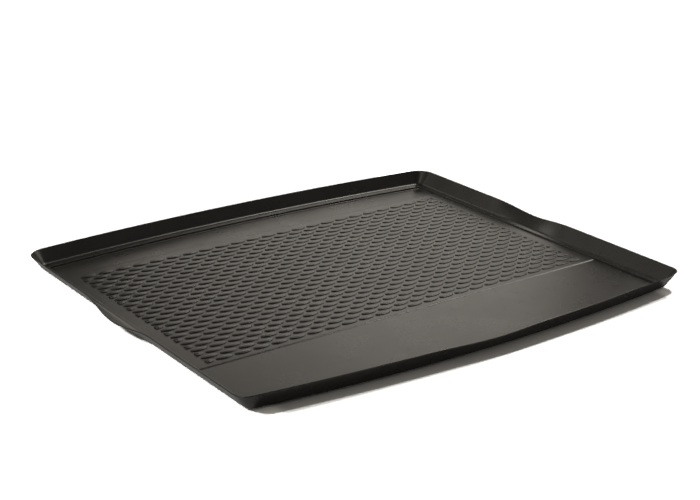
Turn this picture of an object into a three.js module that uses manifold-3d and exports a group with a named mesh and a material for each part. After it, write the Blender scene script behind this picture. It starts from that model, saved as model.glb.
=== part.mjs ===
// Car boot liner: one moulded plastic tray with a flared rim and an anti-slip floor.
// Millimetres. +Z is up, +X to the right, and -Y points to the loading edge.
// The tray lies on its underside at z = 0.
import * as THREE from 'three';
import { mergeVertices } from 'three/addons/utils/BufferGeometryUtils.js';
import Module from 'manifold-3d';

const wasm = await Module();
wasm.setup();

// Sheet and levels
const sheet = 3; // thickness of the moulded sheet
const fieldRise = 1.2; // step from the smooth bands up to the patterned field
const ledgeRise = 4.5; // step from the smooth bands up to the ledge round the floor
const rimHeight = 37.3; // rim above the ground the tray lies on

// Floor in plan, inside the step that runs round it
const floorHalfWidth = 490.5;
const floorNear = -415.5; // at the loading edge
const floorFar = 410.5; // at the far edge
const stepRun = 1.5; // width of the sloping face of that step
const ledgeWidth = 11; // along the sides and the loading edge
const farLedgeWidth = 16;
const footBlend = 4; // length of the round where the ledge turns into the wall
const footCorner = 16; // corner radius where the wall starts

// Flare of the walls, from their foot out to the inner edge of the rim
const sideFlare = 24;
const nearFlare = 14.5;
const farFlare = 18.8;
const nearRimCorner = 22; // corner radii of the rim
const farRimCorner = 40;
const lipHeight = 2.6; // upright outer face of the rim
const rimSoftening = 0.5; // bevel of the rim's edges

// The near and far edges are long arcs that bow outwards
const nearBow = 4150; // radius of the loading edge
const nearApex = 45; // sideways place of its foremost point
const farBow = 5150; // radius of the far edge
const farApex = -20; // sideways place of its farthest point

// The side walls lean out in the middle, which lowers their rim
const sideLean = 22; // degrees at the deepest point
const sideLeanCentre = 26;
const sideLeanReach = 132; // half the length of the dip

// The wall of the loading edge does the same, less deeply, and leans out a little to its right
const nearLean = 7.6;
const nearLeanCentre = -8;
const nearLeanReach = 145;
const nearSlack = 5.7; // lean of the stretch to the right, in degrees
const slackFrom = -260; // the slack begins here
const slackFull = 60; // and has its full value here
const slackEnd = 530; // it is gone at the right corner
const slackFade = 60; // length over which it goes

// Patterned field: a low platform right across the floor, with oval pads
const fieldNear = -207.5;
const fieldFar = 330;
const fieldSlope = 1.6; // width of the sloping face at each end of the platform
const padHalfField = 463; // the rows of pads are cut off straight at this distance
const padLength = 36;
const padDepth = 13;
const padRise = 1.5;
const padPitch = 40; // from pad to pad in a row
const rowPitch = 18.24; // from row to row
const rowCount = 28;
const firstRow = -188.4; // the row next to the loading edge
const padShift = -4.6; // sideways place of the pattern
const padRidge = 17; // length of the flat crest of a pad

// Fineness of the curves
const nearSteps = 12; // each half of the loading edge
const farSteps = 6; // each half of the far edge
const cornerSteps = 4;
const dipSteps = 8;

const floorTop = sheet;
const fieldTop = floorTop + fieldRise;
const ledgeTop = floorTop + ledgeRise;

// Rise from 0 to 1 while a value goes from one number to another.
function ramp(value, from, to) {
  return THREE.MathUtils.smoothstep(value, from, to);
}

// Smooth hump of height 1 and length 2 reach.
function hump(value, centre, reach) {
  const share = Math.min(Math.abs(value - centre) / reach, 1);
  return 0.5 * (1 + Math.cos(Math.PI * share));
}

// How far the wall leans out at a place in plan, in radians.
function leanAt(x, y) {
  if (y > fieldNear) {
    return THREE.MathUtils.degToRad(sideLean * hump(y, sideLeanCentre, sideLeanReach));
  }
  const slackLeft = 1 - ramp(x, slackEnd - slackFade, slackEnd);
  const slack = nearSlack * ramp(x, slackFrom, slackFull) * slackLeft;
  const dip = nearLean * hump(x, nearLeanCentre, nearLeanReach);
  return THREE.MathUtils.degToRad(slack + dip);
}

// Half of an edge that bows outwards, with the corner that follows it.
// It runs from the apex of the arc to the straight side, which is "halfWidth" away.
function bowedEdge(apex, bow, halfWidth, corner, steps) {
  const centreY = apex - Math.sign(apex) * bow;
  const cornerX = halfWidth - corner;
  const reach = Math.sqrt((bow - corner) ** 2 - cornerX ** 2);
  const cornerY = centreY + Math.sign(apex) * reach;
  const endAngle = Math.atan2(cornerX, reach);
  const points = [];
  for (let i = 0; i <= steps; i += 1) {
    const angle = (endAngle * i) / steps;
    const y = centreY + Math.sign(apex) * bow * Math.cos(angle);
    points.push(new THREE.Vector2(bow * Math.sin(angle), y));
  }
  for (let i = 1; i <= cornerSteps; i += 1) {
    const angle = endAngle + ((Math.PI / 2 - endAngle) * i) / cornerSteps;
    const y = cornerY + Math.sign(apex) * corner * Math.cos(angle);
    points.push(new THREE.Vector2(cornerX + corner * Math.sin(angle), y));
  }
  return points;
}

// One side of an outline, from the apex of the loading edge to the apex of the far edge.
// "side" is 1 for the right and -1 for the left.
function outlineHalf({ halfWidth, near, far, nearCorner, farCorner }, side) {
  const nearPart = bowedEdge(near, nearBow, halfWidth - side * nearApex, nearCorner, nearSteps);
  const farPart = bowedEdge(far, farBow, halfWidth - side * farApex, farCorner, farSteps);
  const dip = [];
  for (let i = 0; i <= dipSteps; i += 1) {
    const y = sideLeanCentre + sideLeanReach * ((2 * i) / dipSteps - 1);
    dip.push(new THREE.Vector2(side * halfWidth, y));
  }
  return [
    ...nearPart.map((point) => new THREE.Vector2(nearApex + side * point.x, point.y)),
    ...dip,
    ...farPart.reverse().map((point) => new THREE.Vector2(farApex + side * point.x, point.y)),
  ];
}

// A closed outline of the tray in plan, anticlockwise from the apex of the loading edge.
// Every outline has its points at the same stations, so that they can be joined in pairs.
function outline(lengths) {
  return [...outlineHalf(lengths, 1), ...outlineHalf(lengths, -1).slice(1, -1).reverse()];
}

// The floor's outline, moved outwards by one distance and by some more at the far edge.
function grownOutline(distance, farExtra = 0) {
  const corner = footCorner - stepRun - ledgeWidth + distance;
  return outline({
    halfWidth: floorHalfWidth + distance,
    near: floorNear - distance,
    far: floorFar + distance + farExtra,
    nearCorner: corner,
    farCorner: corner,
  });
}

const footGrowth = stepRun + ledgeWidth;
const foot = grownOutline(footGrowth, farLedgeWidth - ledgeWidth);
const rim = outline({
  halfWidth: floorHalfWidth + footGrowth + sideFlare,
  near: floorNear - footGrowth - nearFlare,
  far: floorFar + stepRun + farLedgeWidth + farFlare,
  nearCorner: nearRimCorner,
  farCorner: farRimCorner,
});

function level(points, z) {
  return points.map((point) => new THREE.Vector3(point.x, point.y, z));
}

// The wall's section at each station: the foot, the wall and the rim, inside and outside.
// The section is laid out upright, from the foot outwards, and turned about the foot where the
// wall leans out. The rim has a level top and an upright outer face.
function wallSection(index) {
  const start = foot[index];
  const end = rim[index];
  const run = start.distanceTo(end);
  const rise = rimHeight - ledgeTop;
  const along = end.clone().sub(start).divideScalar(run);
  const lean = leanAt(end.x, end.y);
  const upright = Math.atan2(rise, run);
  const slope = upright - lean;
  const at = (distance, z) => {
    const place = start.clone().addScaledVector(along, distance);
    return new THREE.Vector3(place.x, place.y, ledgeTop + z);
  };
  const turned = (distance, z) => at(
    distance * Math.cos(lean) + z * Math.sin(lean),
    z * Math.cos(lean) - distance * Math.sin(lean),
  );
  const mitre = sheet * Math.tan(slope / 2);
  const outerBlend = footBlend + mitre;
  const inner = new THREE.QuadraticBezierCurve3(
    at(-footBlend, 0),
    at(0, 0),
    at(footBlend * Math.cos(slope), footBlend * Math.sin(slope)),
  );
  const outer = new THREE.QuadraticBezierCurve3(
    at(-footBlend, -sheet),
    at(mitre, -sheet),
    at(mitre + outerBlend * Math.cos(slope), outerBlend * Math.sin(slope) - sheet),
  );
  const rimWidth = sheet / Math.sin(upright) - lipHeight / Math.tan(upright);
  const innerBevel = rimSoftening / Math.tan(upright);
  return {
    outer,
    inner,
    rimEdges: [
      turned(run + rimWidth, rise - lipHeight),
      turned(run + rimWidth, rise - rimSoftening),
      turned(run + rimWidth - rimSoftening, rise),
      turned(run + rimSoftening, rise),
      turned(run - innerBevel, rise - rimSoftening),
    ],
  };
}

// Closed skin through a list of rings, from the underside out, over the rim and in to the floor.
function closedSkin(rings) {
  const count = rings[0].length;
  const positions = rings.flat().flatMap((point) => point.toArray());
  const index = [];
  for (let ring = 0; ring + 1 < rings.length; ring += 1) {
    for (let i = 0; i < count; i += 1) {
      const a = ring * count + i;
      const b = ring * count + ((i + 1) % count);
      index.push(a, b, b + count, a, b + count, a + count);
    }
  }
  const cap = (ring, upwards) => {
    const contour = rings[ring].map((point) => new THREE.Vector2(point.x, point.y));
    for (const [a, b, c] of THREE.ShapeUtils.triangulateShape(contour, [])) {
      const order = upwards ? [a, b, c] : [a, c, b];
      index.push(...order.map((corner) => ring * count + corner));
    }
  };
  cap(0, false);
  cap(rings.length - 1, true);
  const geometry = new THREE.BufferGeometry();
  geometry.setAttribute('position', new THREE.Float32BufferAttribute(positions, 3));
  geometry.setIndex(index);
  return geometry;
}

function toSolid(geometry) {
  const bare = geometry.clone();
  bare.deleteAttribute('normal');
  bare.deleteAttribute('uv');
  const merged = mergeVertices(bare);
  const mesh = new wasm.Mesh({
    numProp: 3,
    vertProperties: new Float32Array(merged.attributes.position.array),
    triVerts: new Uint32Array(merged.index.array),
  });
  return new wasm.Manifold(mesh);
}

function toGeometry(solid) {
  const mesh = solid.getMesh();
  const geometry = new THREE.BufferGeometry();
  geometry.setAttribute('position', new THREE.BufferAttribute(mesh.vertProperties, 3));
  geometry.setIndex(new THREE.BufferAttribute(mesh.triVerts, 1));
  return geometry;
}

// Tray of even thickness: pan, step, ledge, foot, flared wall and trimmed rim.
function makeTray() {
  const stepMitre = sheet * Math.tan(Math.atan2(ledgeRise, stepRun) / 2);
  const sections = foot.map((point, index) => wallSection(index));
  const across = (pick) => sections.map(pick);
  const rings = [
    level(grownOutline(stepMitre), 0),
    level(grownOutline(stepRun + stepMitre), ledgeTop - sheet),
    across((section) => section.outer.getPoint(0)),
    across((section) => section.outer.getPoint(0.5)),
    across((section) => section.outer.getPoint(1)),
    ...[0, 1, 2, 3, 4].map((edge) => across((section) => section.rimEdges[edge])),
    across((section) => section.inner.getPoint(1)),
    across((section) => section.inner.getPoint(0.5)),
    across((section) => section.inner.getPoint(0)),
    level(grownOutline(stepRun), ledgeTop),
    level(grownOutline(0), floorTop),
  ];
  return toSolid(closedSkin(rings));
}

// Bar with a constant section in Y and Z, centred on x = 0.
function barAcross(section, halfLength) {
  const shape = new THREE.Shape(section.map(([y, z]) => new THREE.Vector2(y, z)));
  const bar = new THREE.ExtrudeGeometry(shape, { depth: 2 * halfLength, bevelEnabled: false });
  bar.translate(0, 0, -halfLength);
  const toRow = new THREE.Matrix4().makeBasis(
    new THREE.Vector3(0, 1, 0),
    new THREE.Vector3(0, 0, 1),
    new THREE.Vector3(1, 0, 0),
  );
  bar.applyMatrix4(toRow);
  return toSolid(bar);
}

// Platform under the pads. Its ends run into the step round the floor.
function makeField() {
  const section = [
    [fieldNear - fieldSlope, floorTop - sheet / 2],
    [fieldFar + fieldSlope, floorTop - sheet / 2],
    [fieldFar + fieldSlope, floorTop],
    [fieldFar, fieldTop],
    [fieldNear, fieldTop],
    [fieldNear - fieldSlope, floorTop],
  ];
  return barAcross(section, floorHalfWidth + stepRun / 2);
}

// The underside follows the platform, so that the sheet keeps its thickness.
function makeUnderside() {
  const inset = sheet;
  const section = [
    [fieldNear + inset - fieldSlope, -sheet],
    [fieldFar - inset + fieldSlope, -sheet],
    [fieldFar - inset + fieldSlope, 0],
    [fieldFar - inset, fieldRise],
    [fieldNear + inset, fieldRise],
    [fieldNear + inset - fieldSlope, 0],
  ];
  return barAcross(section, floorHalfWidth - inset);
}

// One oval pad: a six-sided outline on the field, with faces that rise to a level crest.
// It reaches a little below the field, so that it grows out of the sheet.
function padGeometry() {
  const crestZ = fieldTop + padRise;
  const sink = 0.5;
  const grow = 1 + sink / padRise;
  const tip = padLength / 2;
  const shoulder = padRidge / 2;
  const crest = [new THREE.Vector3(-shoulder, 0, crestZ), new THREE.Vector3(shoulder, 0, crestZ)];
  const corners = [
    [-tip, 0],
    [-shoulder, -padDepth / 2],
    [shoulder, -padDepth / 2],
    [tip, 0],
    [shoulder, padDepth / 2],
    [-shoulder, padDepth / 2],
  ];
  const base = corners.map(([x, y]) => {
    const from = x < 0 ? crest[0] : crest[1];
    return new THREE.Vector3(from.x + (x - from.x) * grow, y * grow, fieldTop - sink);
  });
  const positions = [...base, ...crest].flatMap((point) => point.toArray());
  const [left, right] = [6, 7];
  const index = [
    [0, 1, left],
    [1, 2, right],
    [1, right, left],
    [2, 3, right],
    [3, 4, right],
    [4, 5, left],
    [4, left, right],
    [5, 0, left],
    [0, 5, 1],
    [1, 5, 4],
    [1, 4, 2],
    [2, 4, 3],
  ].flat();
  const geometry = new THREE.BufferGeometry();
  geometry.setAttribute('position', new THREE.Float32BufferAttribute(positions, 3));
  geometry.setIndex(index);
  return geometry;
}

function joinAll(solids) {
  if (solids.length === 1) {
    return solids[0];
  }
  const half = Math.ceil(solids.length / 2);
  return joinAll(solids.slice(0, half)).add(joinAll(solids.slice(half)));
}

// Rows of pads, every second row moved by half a pitch, cut off straight at both sides.
function makePads() {
  const pad = padGeometry();
  const columns = Math.ceil(padHalfField / padPitch) + 1;
  const rows = [];
  for (let row = 0; row < rowCount; row += 1) {
    const y = firstRow + row * rowPitch;
    const offset = padShift + (row % 2 === 0 ? padPitch / 2 : 0);
    for (let column = -columns; column <= columns; column += 1) {
      const x = offset + column * padPitch;
      if (Math.abs(x) - padLength / 2 < padHalfField) {
        rows.push(toSolid(pad.clone().translate(x, y, 0)));
      }
    }
  }
  const lastRow = firstRow + (rowCount - 1) * rowPitch;
  const keep = new THREE.BoxGeometry(
    2 * padHalfField,
    lastRow - firstRow + 2 * padDepth,
    4 * padRise,
  );
  keep.translate(0, (firstRow + lastRow) / 2, fieldTop);
  return joinAll(rows).intersect(toSolid(keep));
}

const solid = makeTray().add(makeField()).subtract(makeUnderside()).add(makePads());
const geometry = toGeometry(solid);
geometry.computeBoundingBox();
const middle = geometry.boundingBox.getCenter(new THREE.Vector3());
geometry.translate(-middle.x, -middle.y, 0);

const linerMaterial = new THREE.MeshStandardMaterial({
  color: 0x23211f,
  roughness: 0.42,
  metalness: 0,
});

const liner = new THREE.Mesh(geometry, linerMaterial);
liner.name = 'boot_liner';

const model = new THREE.Group();
model.add(liner);

export default model;
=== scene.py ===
"""Car boot liner: the moulded tray in satin black plastic, on white ground."""
import math

import bmesh
import bpy
from mathutils import Matrix, Vector


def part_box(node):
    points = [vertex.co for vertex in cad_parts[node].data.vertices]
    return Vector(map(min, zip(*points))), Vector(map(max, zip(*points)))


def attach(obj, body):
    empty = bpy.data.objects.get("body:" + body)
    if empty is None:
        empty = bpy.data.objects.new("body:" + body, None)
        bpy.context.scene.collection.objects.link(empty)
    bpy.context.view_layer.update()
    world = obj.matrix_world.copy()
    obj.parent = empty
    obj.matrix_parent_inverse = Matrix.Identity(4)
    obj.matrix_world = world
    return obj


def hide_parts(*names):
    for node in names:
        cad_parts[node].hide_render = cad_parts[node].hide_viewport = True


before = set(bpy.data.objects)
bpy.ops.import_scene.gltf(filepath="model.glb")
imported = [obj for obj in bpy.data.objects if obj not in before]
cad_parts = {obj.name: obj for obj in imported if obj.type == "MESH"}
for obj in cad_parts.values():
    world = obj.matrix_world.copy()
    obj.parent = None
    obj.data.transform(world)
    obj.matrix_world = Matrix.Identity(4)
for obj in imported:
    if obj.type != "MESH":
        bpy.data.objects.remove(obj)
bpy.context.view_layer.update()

MM = 0.001

# Sheet and levels, in millimetres
THICKNESS = 3
FIELD_RISE = 1.2
LEDGE_RISE = 4.5
RIM_HEIGHT = 37.3
FLOOR_TOP = THICKNESS
FIELD_TOP = FLOOR_TOP + FIELD_RISE
LEDGE_TOP = FLOOR_TOP + LEDGE_RISE

# Floor, step and ledge in plan
FLOOR_HALF_WIDTH = 490.5
FLOOR_NEAR = -415.5
FLOOR_FAR = 410.5
STEP_RUN = 1.5
LEDGE_WIDTH = 11
FAR_LEDGE_WIDTH = 16
FOOT_CORNER = 16
FOOT_GROWTH = STEP_RUN + LEDGE_WIDTH

# Walls and rim
SIDE_FLARE = 24
NEAR_FLARE = 14.5
FAR_FLARE = 18.8
NEAR_RIM_CORNER = 22
FAR_RIM_CORNER = 40
LIP_HEIGHT = 2.6

# Long arcs of the near and far edges
NEAR_BOW = 4150
NEAR_APEX = 45
FAR_BOW = 5150
FAR_APEX = -20

# Where the walls lean out and the rim dips
SIDE_LEAN = 22
SIDE_LEAN_CENTRE = 26
SIDE_LEAN_REACH = 132
NEAR_LEAN = 7.6
NEAR_LEAN_CENTRE = -8
NEAR_LEAN_REACH = 145
NEAR_SLACK = 5.7
SLACK_FROM = -260
SLACK_FULL = 60
SLACK_END = 530
SLACK_FADE = 60

# Patterned field
FIELD_NEAR = -207.5
FIELD_FAR = 330
FIELD_SLOPE = 2.4
PAD_HALF_FIELD = 463
PAD_LENGTH = 36
PAD_DEPTH = 13
PAD_RISE = 1.6
PAD_PITCH = 40
ROW_PITCH = 18.24
ROW_COUNT = 28
FIRST_ROW = -188.4
PAD_SHIFT = -4.6

# Section of a pad's side: share of its half depth from the middle, share of its rise
PAD_SECTION = [(1.0, -0.3), (0.95, 0.5), (0.86, 0.86), (0.68, 1.0)]

# Tangents of the curves that round the field's slope, the step, the foot of the wall and the rim
FIELD_ROUNDING = [0.9, 1.1]
STEP_ROUNDING = [0.7, 0.9]
FOOT_BLEND = 4
RIM_ROUNDING = 0.4

# Flat stretches drawn beside the field's slope, the step and the foot of the wall
FIELD_LEAD = 6
STEP_LEAD = 3
WALL_LEAD = 3

# Extra point beside each curve, as a share of its tangent, which counts up to a limit
SUPPORT_SHARE = 0.6
SUPPORT_LIMIT = 1.2

# Fineness of the curves
NEAR_STEPS = 44
FAR_STEPS = 20
CORNER_STEPS = 10
DIP_STEPS = 28
ARC_STEPS = 3
BLEND_STEPS = 7
EDGE_STEPS = 2
PAD_POINTS = 16

# Size of the visual tray, as a share of the part's box
FIT = 0.999999

# Finish of the plastic, where each noise has a scale and a detail
NOISE_RANGE = (0.3, 0.7)
TINT_NOISE = (30, 3)
DARK_TINT = (0.0075, 0.0068, 0.006, 1)
LIGHT_TINT = (0.01, 0.0091, 0.008, 1)
SHEEN_NOISE = (9, 4)
ROUGHNESS = (0.26, 0.3)
RUB_NOISE = (42, 6)
RUB_FROM = 0.6
RUB_FULL = 0.72
RUB_DULLNESS = 0.05
GRAIN_NOISE = (1800, 2)
GRAIN_STRENGTH = 0.25
GRAIN_HEIGHT = 0.00008
PLASTIC_IOR = 1.5

# White ground, in metres
GROUND_REACH = 12
GROUND_GAP = 0.0002
GROUND_WHITE = 0.97
GROUND_IN_SHEEN = 0.55

# Strips of the ground that only one lamp reaches, where its colour is painted lighter in place of
# the other lamp's light: their start, full from, full to and end along X
PAINTED_LIGHT_STRIPS = [(-0.68, -0.6, -0.47, -0.44), (0.46, 0.48, 0.57, 0.6)]

# Lamps, with azimuth from +Y towards +X and elevation, in degrees
LAMPS = [("left_lamp", -71, 41), ("right_lamp", 63, 50)]
LAMP_LEVEL = 0.5
LAMP_SOFTNESS = 6
LAMP_COLOUR = (1, 0.985, 0.96)

# Colour of the panels and the room, and the room's level in the sheen and as fill
WARM_LIGHT = (1, 0.94, 0.845)
SHEEN_FILL = 0.09
FILL = 0.21

# Panels: azimuth and elevation in degrees, distance, width and height in metres, brightness
PANELS = {
    "back_panel_wide": (36, 17, 4.5, 2.33, 1.5, 1.02),
    "back_panel_high": (40, 26, 4.5, 1.55, 1.26, 0.24),
    "back_panel_tall": (43.5, 31, 4.5, 1.15, 1.75, 0.4),
    "left_back_panel": (-34, 34, 4, 1.3, 1.45, 0.82),
    "far_left_panel": (-5, 43, 4, 1.3, 0.7, 2),
    "right_panel_high": (84, 55.5, 3, 1.17, 0.58, 11.5),
    "right_panel": (86, 40.5, 3, 1.7, 1.0, 4.2),
    "right_low_panel": (76, 32, 3, 1.1, 0.7, 2.2),
    "left_panel": (-85, 42, 3, 1.5, 1.2, 1.2),
    "corner_panel": (-118, 50, 3, 0.45, 0.5, 14),
}

# Camera: angles in degrees, places in metres, sensor and lens in millimetres
VIEW_AZIMUTH = 36.76
VIEW_ELEVATION = 20.42
VIEW_ROLL = 0.97
VIEW_DISTANCE = 3.1703
VIEW_TARGET = (0.09778, 0.13924, 0)
VIEW_REACH = 60
SENSOR = 36
LENS = 75.11


def ramp(value, start, end):
    """Smooth rise from 0 at the start to 1 at the end."""
    t = min(max((value - start) / (end - start), 0), 1)
    return t * t * (3 - 2 * t)


def hump(value, centre, reach):
    """Smooth hump, 1 at its centre and 0 beyond its reach."""
    share = min(abs(value - centre) / reach, 1)
    return 0.5 * (1 + math.cos(math.pi * share))


def lean_at(place):
    """How far the wall leans out at a place in plan, in radians."""
    if place.y > FIELD_NEAR:
        return math.radians(SIDE_LEAN * hump(place.y, SIDE_LEAN_CENTRE, SIDE_LEAN_REACH))
    slack_left = 1 - ramp(place.x, SLACK_END - SLACK_FADE, SLACK_END)
    slack = NEAR_SLACK * ramp(place.x, SLACK_FROM, SLACK_FULL) * slack_left
    dip = NEAR_LEAN * hump(place.x, NEAR_LEAN_CENTRE, NEAR_LEAN_REACH)
    return math.radians(slack + dip)


def rounded(corners, tangents, steps):
    """A line in a plane with its inner corners rounded, and a point on either side of each curve.

    The extra points keep the shading of the straight stretches even."""
    points = [corners[0]]
    for before, corner, after, tangent, count in zip(
        corners, corners[1:], corners[2:], tangents, steps
    ):
        back = (before - corner).normalized()
        ahead = (after - corner).normalized()
        support = SUPPORT_SHARE * min(tangent, SUPPORT_LIMIT)
        points.append(corner + back * (tangent + support))
        for i in range(count + 1):
            t = i / count
            start = corner + back * tangent
            end = corner + ahead * tangent
            points.append(start.lerp(corner, t).lerp(corner.lerp(end, t), t))
        points.append(corner + ahead * (tangent + support))
    points.append(corners[-1])
    return points


def step_profile(edge, side):
    """Height of the floor across one end of the field, as points (y, z) with rising y."""
    low = Vector((edge - side * FIELD_SLOPE, FLOOR_TOP))
    high = Vector((edge, FIELD_TOP))
    lead = Vector((side * FIELD_LEAD, 0))
    points = rounded([low - lead, low, high, high + lead], FIELD_ROUNDING, [EDGE_STEPS, ARC_STEPS])
    return points if side > 0 else points[::-1]


NEAR_STEP = step_profile(FIELD_NEAR, 1)
FAR_STEP = step_profile(FIELD_FAR, -1)
FLOOR_PROFILE = NEAR_STEP + FAR_STEP


def floor_height(y):
    """Height of the floor at a depth, with the raised field between its slopes."""
    if y <= FLOOR_PROFILE[0].x or y >= FLOOR_PROFILE[-1].x:
        return FLOOR_TOP
    for start, end in zip(FLOOR_PROFILE, FLOOR_PROFILE[1:]):
        if y <= end.x:
            return start.y + (end.y - start.y) * (y - start.x) / (end.x - start.x)


DIP_STATIONS = [
    SIDE_LEAN_CENTRE + SIDE_LEAN_REACH * (2 * i / DIP_STEPS - 1) for i in range(DIP_STEPS + 1)
]
SIDE_STATIONS = [p.x for p in NEAR_STEP] + DIP_STATIONS + [p.x for p in FAR_STEP]


def bowed_edge(apex, bow, half_width, corner, steps):
    """Half of an edge that bows outwards, from the apex of its arc round the corner."""
    side = math.copysign(1, apex)
    centre_y = apex - side * bow
    corner_x = half_width - corner
    reach = math.sqrt((bow - corner) ** 2 - corner_x ** 2)
    end_angle = math.atan2(corner_x, reach)
    points = []
    for i in range(steps + 1):
        angle = end_angle * i / steps
        points.append(Vector((bow * math.sin(angle), centre_y + side * bow * math.cos(angle))))
    for i in range(1, CORNER_STEPS + 1):
        angle = end_angle + (math.pi / 2 - end_angle) * i / CORNER_STEPS
        y = centre_y + side * (reach + corner * math.cos(angle))
        points.append(Vector((corner_x + corner * math.sin(angle), y)))
    return points


def outline_half(half_width, near, far, near_corner, far_corner, side):
    """Right (1) or left (-1) half of an outline, from the loading edge to the far edge."""
    near_part = bowed_edge(near, NEAR_BOW, half_width - side * NEAR_APEX, near_corner, NEAR_STEPS)
    far_part = bowed_edge(far, FAR_BOW, half_width - side * FAR_APEX, far_corner, FAR_STEPS)
    points = [Vector((NEAR_APEX + side * p.x, p.y)) for p in near_part]
    points += [Vector((side * half_width, y)) for y in SIDE_STATIONS]
    points += [Vector((FAR_APEX + side * p.x, p.y)) for p in reversed(far_part)]
    return points


def outline(*lengths):
    """Closed outline, anticlockwise from the apex of the loading edge, with fixed stations."""
    left = outline_half(*lengths, -1)[1:-1]
    return outline_half(*lengths, 1) + left[::-1]


def grown_outline(distance, far_extra=0):
    """Outline of the floor grown by a distance, and by some more at the far edge."""
    corner = FOOT_CORNER - FOOT_GROWTH + distance
    half_width = FLOOR_HALF_WIDTH + distance
    far = FLOOR_FAR + distance + far_extra
    return outline(half_width, FLOOR_NEAR - distance, far, corner, corner)


FOOT = grown_outline(FOOT_GROWTH, FAR_LEDGE_WIDTH - LEDGE_WIDTH)
RIM = outline(
    FLOOR_HALF_WIDTH + FOOT_GROWTH + SIDE_FLARE,
    FLOOR_NEAR - FOOT_GROWTH - NEAR_FLARE,
    FLOOR_FAR + STEP_RUN + FAR_LEDGE_WIDTH + FAR_FLARE,
    NEAR_RIM_CORNER,
    FAR_RIM_CORNER,
)


def wall_section(start, end):
    """Section of the ledge, wall and rim, from inside over the rim to the underside.

    The sheet is cut square to the wall at the rim and is a little thinner there."""
    span = end - start
    run = span.length
    along = span.normalized()
    rise = RIM_HEIGHT - LEDGE_TOP
    lean = lean_at(end)
    upright = math.atan2(rise, run)
    slope = upright - lean
    turn = Matrix.Rotation(-lean, 2)
    rim_width = THICKNESS / math.sin(upright) - LIP_HEIGHT / math.tan(upright)
    mitre = THICKNESS * math.tan(slope / 2)
    corners = [
        Vector((-FOOT_BLEND - WALL_LEAD, 0)),
        Vector((0, 0)),
        turn @ Vector((run, rise)),
        turn @ Vector((run + rim_width, rise - rim_width / math.tan(upright))),
        Vector((mitre, -THICKNESS)),
        Vector((-FOOT_BLEND - WALL_LEAD, -THICKNESS)),
    ]
    tangents = [FOOT_BLEND, RIM_ROUNDING, RIM_ROUNDING, FOOT_BLEND]
    steps = [BLEND_STEPS, EDGE_STEPS, EDGE_STEPS, BLEND_STEPS]
    section = []
    for point in rounded(corners, tangents, steps):
        place = start + along * point.x
        section.append(Vector((place.x, place.y, LEDGE_TOP + point.y)))
    return section


def step_rings(profile, lift):
    """Rings of the step round the floor: points (growth, share of the rise) of its section."""
    rings = []
    for growth, share in profile:
        ring = []
        for point in grown_outline(growth):
            low = floor_height(point.y) - lift
            high = LEDGE_TOP - lift
            ring.append(Vector((point.x, point.y, low + (high - low) * share)))
        rings.append(ring)
    return rings


def step_section(offset):
    """Section of the step, with its height from 0 to 1 and the growth shifted by the offset."""
    corners = [
        Vector((-STEP_LEAD, 0)),
        Vector((0, 0)),
        Vector((STEP_RUN, LEDGE_RISE)),
        Vector((STEP_RUN + STEP_LEAD, LEDGE_RISE)),
    ]
    points = rounded(corners, STEP_ROUNDING, [EDGE_STEPS, ARC_STEPS])
    return [(p.x + offset, p.y / LEDGE_RISE) for p in points]


def join_rings(bm, rings):
    """Draw a skin through rings of points, each ring extruded from the one before it."""
    first = [bm.verts.new(point * MM) for point in rings[0]]
    verts = first
    edges = [bm.edges.new(pair) for pair in zip(verts, verts[1:] + verts[:1])]
    for ring in rings[1:]:
        drawn = bmesh.ops.extrude_edge_only(bm, edges=edges)["geom"]
        new = {item for item in drawn if isinstance(item, bmesh.types.BMVert)}
        drawn_edges = [item for item in drawn if isinstance(item, bmesh.types.BMEdge)]
        edges = [edge for edge in drawn_edges if new.issuperset(edge.verts)]
        verts = [
            next(edge.other_vert(vert) for edge in vert.link_edges if edge.other_vert(vert) in new)
            for vert in verts
        ]
        for vert, point in zip(verts, ring):
            vert.co = point * MM
    return first, verts


def close_across(bm, verts):
    """Close a ring of the floor: a face at each end and strips across between the stations."""
    first = NEAR_STEPS + CORNER_STEPS + 1
    last = first + len(SIDE_STATIONS) - 1
    ribs = [bm.edges.new((verts[index], verts[-index])) for index in range(first, last + 1)]

    def stretch(start, end):
        return [bm.edges.get((verts[index], verts[index + 1])) for index in range(start, end)]

    bmesh.ops.edgeloop_fill(bm, edges=[ribs[0]] + stretch(-first, first))
    bmesh.ops.edgeloop_fill(bm, edges=[ribs[-1]] + stretch(last, len(verts) - last))
    for pair in zip(ribs, ribs[1:]):
        bmesh.ops.contextual_create(bm, geom=list(pair))


def finished(bm, name):
    """Turn a mesh's faces outwards, shade it smooth and place it in the scene."""
    bmesh.ops.recalc_face_normals(bm, faces=bm.faces)
    for face in bm.faces:
        face.smooth = True
    mesh = bpy.data.meshes.new(name)
    bm.to_mesh(mesh)
    bm.free()
    piece = bpy.data.objects.new(name, mesh)
    bpy.context.collection.objects.link(piece)
    return piece


def make_tray():
    """The moulded sheet: floor, step, ledge, wall and rim, inside and out."""
    bm = bmesh.new()
    sections = [wall_section(start, end) for start, end in zip(FOOT, RIM)]
    wall = [list(ring) for ring in zip(*sections)]
    step_mitre = THICKNESS * math.tan(math.atan2(LEDGE_RISE, STEP_RUN) / 2)
    inside = step_rings(step_section(0), 0)
    outside = step_rings(step_section(step_mitre), THICKNESS)
    top, bottom = join_rings(bm, inside + wall + outside[::-1])
    close_across(bm, top)
    close_across(bm, bottom)
    return finished(bm, "tray")


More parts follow.
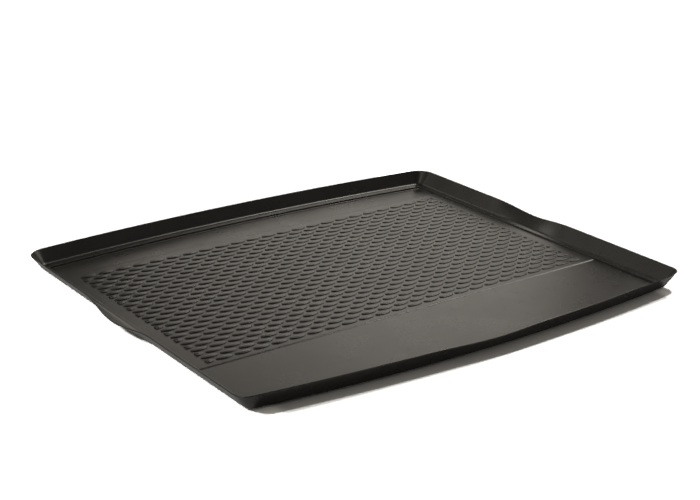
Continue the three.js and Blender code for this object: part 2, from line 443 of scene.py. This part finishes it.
def make_pad(bm):
    """One oval pad with sloped sides and a nearly flat top, round the origin."""
    rings = []
    for scale, height in PAD_SECTION:
        inset = (1 - scale) * PAD_DEPTH / 2
        ring = []
        for i in range(PAD_POINTS):
            angle = 2 * math.pi * i / PAD_POINTS
            x = (PAD_LENGTH / 2 - inset) * math.cos(angle)
            y = (PAD_DEPTH / 2 - inset) * math.sin(angle)
            ring.append(Vector((x, y, height * PAD_RISE)))
        rings.append(ring)
    for ring in join_rings(bm, rings):
        bmesh.ops.contextual_create(bm, geom=ring)


def copy_to(bm, geom, place):
    """Copy part of a mesh and move the copy, in millimetres."""
    copies = bmesh.ops.duplicate(bm, geom=geom)["geom"]
    verts = [item for item in copies if isinstance(item, bmesh.types.BMVert)]
    bmesh.ops.translate(bm, vec=Vector(place) * MM, verts=verts)


def make_pads():
    """Two staggered rows of pads, cut off at the field's ends and copied over its depth."""
    bm = bmesh.new()
    make_pad(bm)
    pad = bm.verts[:] + bm.edges[:] + bm.faces[:]
    columns = math.ceil(PAD_HALF_FIELD / PAD_PITCH) + 1
    for row in range(2):
        offset = PAD_SHIFT + (PAD_PITCH / 2 if row == 0 else 0)
        for column in range(-columns, columns + 1):
            x = offset + column * PAD_PITCH
            if abs(x) - PAD_LENGTH / 2 < PAD_HALF_FIELD:
                copy_to(bm, pad, (x, FIRST_ROW + row * ROW_PITCH, FIELD_TOP))
    pad_verts = [item for item in pad if isinstance(item, bmesh.types.BMVert)]
    bmesh.ops.delete(bm, geom=pad_verts, context="VERTS")
    for side in (-1, 1):
        cut = bmesh.ops.bisect_plane(
            bm,
            geom=bm.verts[:] + bm.edges[:] + bm.faces[:],
            plane_co=(side * PAD_HALF_FIELD * MM, 0, 0),
            plane_no=(side, 0, 0),
            clear_outer=True,
        )
        open_edges = [item for item in cut["geom_cut"] if isinstance(item, bmesh.types.BMEdge)]
        bmesh.ops.holes_fill(bm, edges=open_edges, sides=0)
    two_rows = bm.verts[:] + bm.edges[:] + bm.faces[:]
    for pair in range(1, ROW_COUNT // 2):
        copy_to(bm, two_rows, (0, pair * 2 * ROW_PITCH, 0))
    return finished(bm, "pads")


def make_plastic():
    """Satin black plastic with a fine grain, uneven in colour and sheen and rubbed dull in spots."""
    material = bpy.data.materials.new("satin_black_plastic")
    material.use_nodes = True
    tree = material.node_tree
    shader = tree.nodes["Principled BSDF"]
    place = tree.nodes.new("ShaderNodeTexCoord").outputs["Object"]

    def noise(scale, detail):
        node = tree.nodes.new("ShaderNodeTexNoise")
        tree.links.new(place, node.inputs["Vector"])
        node.inputs["Scale"].default_value = scale
        node.inputs["Detail"].default_value = detail
        return node.outputs["Fac"]

    def spread(source, low, high):
        node = tree.nodes.new("ShaderNodeMapRange")
        tree.links.new(source, node.inputs["Value"])
        node.inputs["From Min"].default_value = NOISE_RANGE[0]
        node.inputs["From Max"].default_value = NOISE_RANGE[1]
        node.inputs["To Min"].default_value = low
        node.inputs["To Max"].default_value = high
        return node.outputs["Result"]

    rubbed = tree.nodes.new("ShaderNodeMapRange")
    tree.links.new(noise(*RUB_NOISE), rubbed.inputs["Value"])
    rubbed.inputs["From Min"].default_value = RUB_FROM
    rubbed.inputs["From Max"].default_value = RUB_FULL
    rubbed.inputs["To Max"].default_value = RUB_DULLNESS
    dulled = tree.nodes.new("ShaderNodeMath")
    tree.links.new(spread(noise(*SHEEN_NOISE), *ROUGHNESS), dulled.inputs[0])
    tree.links.new(rubbed.outputs["Result"], dulled.inputs[1])
    tree.links.new(dulled.outputs["Value"], shader.inputs["Roughness"])
    colour = tree.nodes.new("ShaderNodeMix")
    colour.data_type = "RGBA"
    tree.links.new(spread(noise(*TINT_NOISE), 0, 1), colour.inputs["Factor"])
    colour.inputs["A"].default_value = DARK_TINT
    colour.inputs["B"].default_value = LIGHT_TINT
    tree.links.new(colour.outputs["Result"], shader.inputs["Base Color"])
    bump = tree.nodes.new("ShaderNodeBump")
    bump.inputs["Strength"].default_value = GRAIN_STRENGTH
    bump.inputs["Distance"].default_value = GRAIN_HEIGHT
    tree.links.new(noise(*GRAIN_NOISE), bump.inputs["Height"])
    tree.links.new(bump.outputs["Normal"], shader.inputs["Normal"])
    shader.inputs["IOR"].default_value = PLASTIC_IOR
    return material


def make_ground():
    """White ground with painted light: the camera sees its colour doubled in the strips that only
    one lamp reaches, so they look as white as the rest.
    """
    bm = bmesh.new()
    bmesh.ops.create_grid(bm, x_segments=1, y_segments=1, size=GROUND_REACH)
    ground = finished(bm, "ground")
    ground.location.z = -GROUND_GAP
    material = bpy.data.materials.new("white_ground")
    material.use_nodes = True
    tree = material.node_tree
    tree.nodes.remove(tree.nodes["Principled BSDF"])
    place = tree.nodes.new("ShaderNodeSeparateXYZ")
    tree.links.new(tree.nodes.new("ShaderNodeTexCoord").outputs["Object"], place.inputs["Vector"])

    def added(first, second):
        node = tree.nodes.new("ShaderNodeMath")
        tree.links.new(first, node.inputs[0])
        tree.links.new(second, node.inputs[1])
        return node.outputs["Value"]

    def rising(start, end, change):
        node = tree.nodes.new("ShaderNodeMapRange")
        node.interpolation_type = "SMOOTHSTEP"
        tree.links.new(place.outputs["X"], node.inputs["Value"])
        node.inputs["From Min"].default_value = start
        node.inputs["From Max"].default_value = end
        node.inputs["To Max"].default_value = change
        return node.outputs["Result"]

    # Painted light: for camera rays the ground's colour is doubled in these strips, in place of the
    # light that the other lamp's shadow takes away
    painted_light = None
    for start, full_from, full_to, end in PAINTED_LIGHT_STRIPS:
        brighter = rising(start, full_from, GROUND_WHITE)
        back_again = rising(full_to, end, -GROUND_WHITE)
        painted_strip = added(brighter, back_again)
        painted_light = painted_strip if painted_light is None else added(painted_light, painted_strip)
    white = tree.nodes.new("ShaderNodeMath")
    tree.links.new(painted_light, white.inputs[0])
    white.inputs[1].default_value = GROUND_WHITE
    seen = tree.nodes.new("ShaderNodeMix")
    camera_ray = tree.nodes.new("ShaderNodeLightPath").outputs["Is Camera Ray"]
    tree.links.new(camera_ray, seen.inputs["Factor"])
    seen.inputs["A"].default_value = GROUND_IN_SHEEN
    tree.links.new(white.outputs["Value"], seen.inputs["B"])
    matt = tree.nodes.new("ShaderNodeBsdfDiffuse")
    tree.links.new(seen.outputs["Result"], matt.inputs["Color"])
    tree.links.new(matt.outputs["BSDF"], tree.nodes["Material Output"].inputs["Surface"])
    ground.data.materials.append(material)


def facing(azimuth, elevation):
    """Direction towards a place in the studio, in degrees, the azimuth from +Y towards +X."""
    turn = math.radians(azimuth)
    rise = math.radians(elevation)
    level = math.cos(rise)
    return Vector((math.sin(turn) * level, math.cos(turn) * level, math.sin(rise)))


def make_lamps():
    """A lamp on either side, a little behind, so that only the near side has a shadow."""
    for name, azimuth, elevation in LAMPS:
        light = bpy.data.lights.new(name, "SUN")
        light.energy = LAMP_LEVEL * math.pi / math.sin(math.radians(elevation))
        light.angle = math.radians(LAMP_SOFTNESS)
        light.color = LAMP_COLOUR
        lamp = bpy.data.objects.new(name, light)
        away = facing(azimuth, elevation)
        lamp.rotation_euler = away.to_track_quat("Z", "Y").to_euler()
        lamp.visible_glossy = False
        bpy.context.collection.objects.link(lamp)


def make_panel(name, azimuth, elevation, distance, width, height, level):
    """A panel whose bright face only the plastic's sheen shows, turned to the liner's middle."""
    away = facing(azimuth, elevation)
    light = bpy.data.lights.new(name, "AREA")
    light.shape = "RECTANGLE"
    light.size = width
    light.size_y = height
    light.energy = level * math.pi * width * height
    light.color = WARM_LIGHT
    lamp = bpy.data.objects.new(name, light)
    lamp.location = away * distance
    lamp.rotation_euler = away.to_track_quat("Z", "Y").to_euler()
    lamp.visible_camera = False
    lamp.visible_diffuse = False
    bpy.context.collection.objects.link(lamp)


def make_world():
    """White for the camera, dim as fill and dimmer still in the plastic's sheen."""
    world = bpy.data.worlds.new("studio")
    bpy.context.scene.world = world
    world.use_nodes = True
    tree = world.node_tree
    path = tree.nodes.new("ShaderNodeLightPath")

    def warm(level):
        return (*(level * share for share in WARM_LIGHT), 1)

    def shown_to(rays, colour):
        node = tree.nodes.new("ShaderNodeMix")
        node.data_type = "RGBA"
        tree.links.new(path.outputs[rays], node.inputs["Factor"])
        node.inputs["B"].default_value = colour
        return node

    room = shown_to("Is Glossy Ray", warm(SHEEN_FILL))
    room.inputs["A"].default_value = warm(FILL)
    backdrop = shown_to("Is Camera Ray", (1, 1, 1, 1))
    tree.links.new(room.outputs["Result"], backdrop.inputs["A"])
    tree.links.new(backdrop.outputs["Result"], tree.nodes["Background"].inputs["Color"])


def make_camera():
    """The photograph's view, found from the pads' even lattice."""
    azimuth = math.radians(VIEW_AZIMUTH)
    elevation = math.radians(VIEW_ELEVATION)
    roll = math.radians(VIEW_ROLL)
    back = Vector((
        -math.sin(azimuth) * math.cos(elevation),
        -math.cos(azimuth) * math.cos(elevation),
        math.sin(elevation),
    ))
    camera = bpy.data.objects.new("camera", bpy.data.cameras.new("camera"))
    camera.data.sensor_width = SENSOR
    camera.data.lens = LENS
    camera.data.clip_end = VIEW_REACH
    camera.location = Vector(VIEW_TARGET) + back * VIEW_DISTANCE
    upright = back.to_track_quat("Z", "Y").to_matrix()
    camera.rotation_euler = (upright @ Matrix.Rotation(roll, 3, "Z")).to_euler()
    bpy.context.collection.objects.link(camera)
    bpy.context.scene.camera = camera


def fit_to_part(tray):
    """The small scaling and shift that bring the tray's box onto the part's box."""
    places = [vertex.co for vertex in tray.data.vertices]
    low = Vector([min(place[axis] for place in places) for axis in range(3)])
    high = Vector([max(place[axis] for place in places) for axis in range(3)])
    part_low, part_high = (Vector(corner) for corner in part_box("boot_liner"))
    part_size = part_high - part_low
    size = high - low
    scale = Matrix.Diagonal([FIT * part_size[axis] / size[axis] for axis in range(3)]).to_4x4()
    return Matrix.Translation(part_low) @ scale @ Matrix.Translation(-low)


make_camera()
tray = make_tray()
pads = make_pads()
fitting = fit_to_part(tray)
plastic = make_plastic()
for piece in (tray, pads):
    piece.data.transform(fitting)
    piece.data.materials.append(plastic)
    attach(piece, "root")
    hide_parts("boot_liner")

make_ground()
make_world()
make_lamps()
for name, place in PANELS.items():
    make_panel(name, *place)
bpy.context.scene.view_settings.view_transform = "Standard"
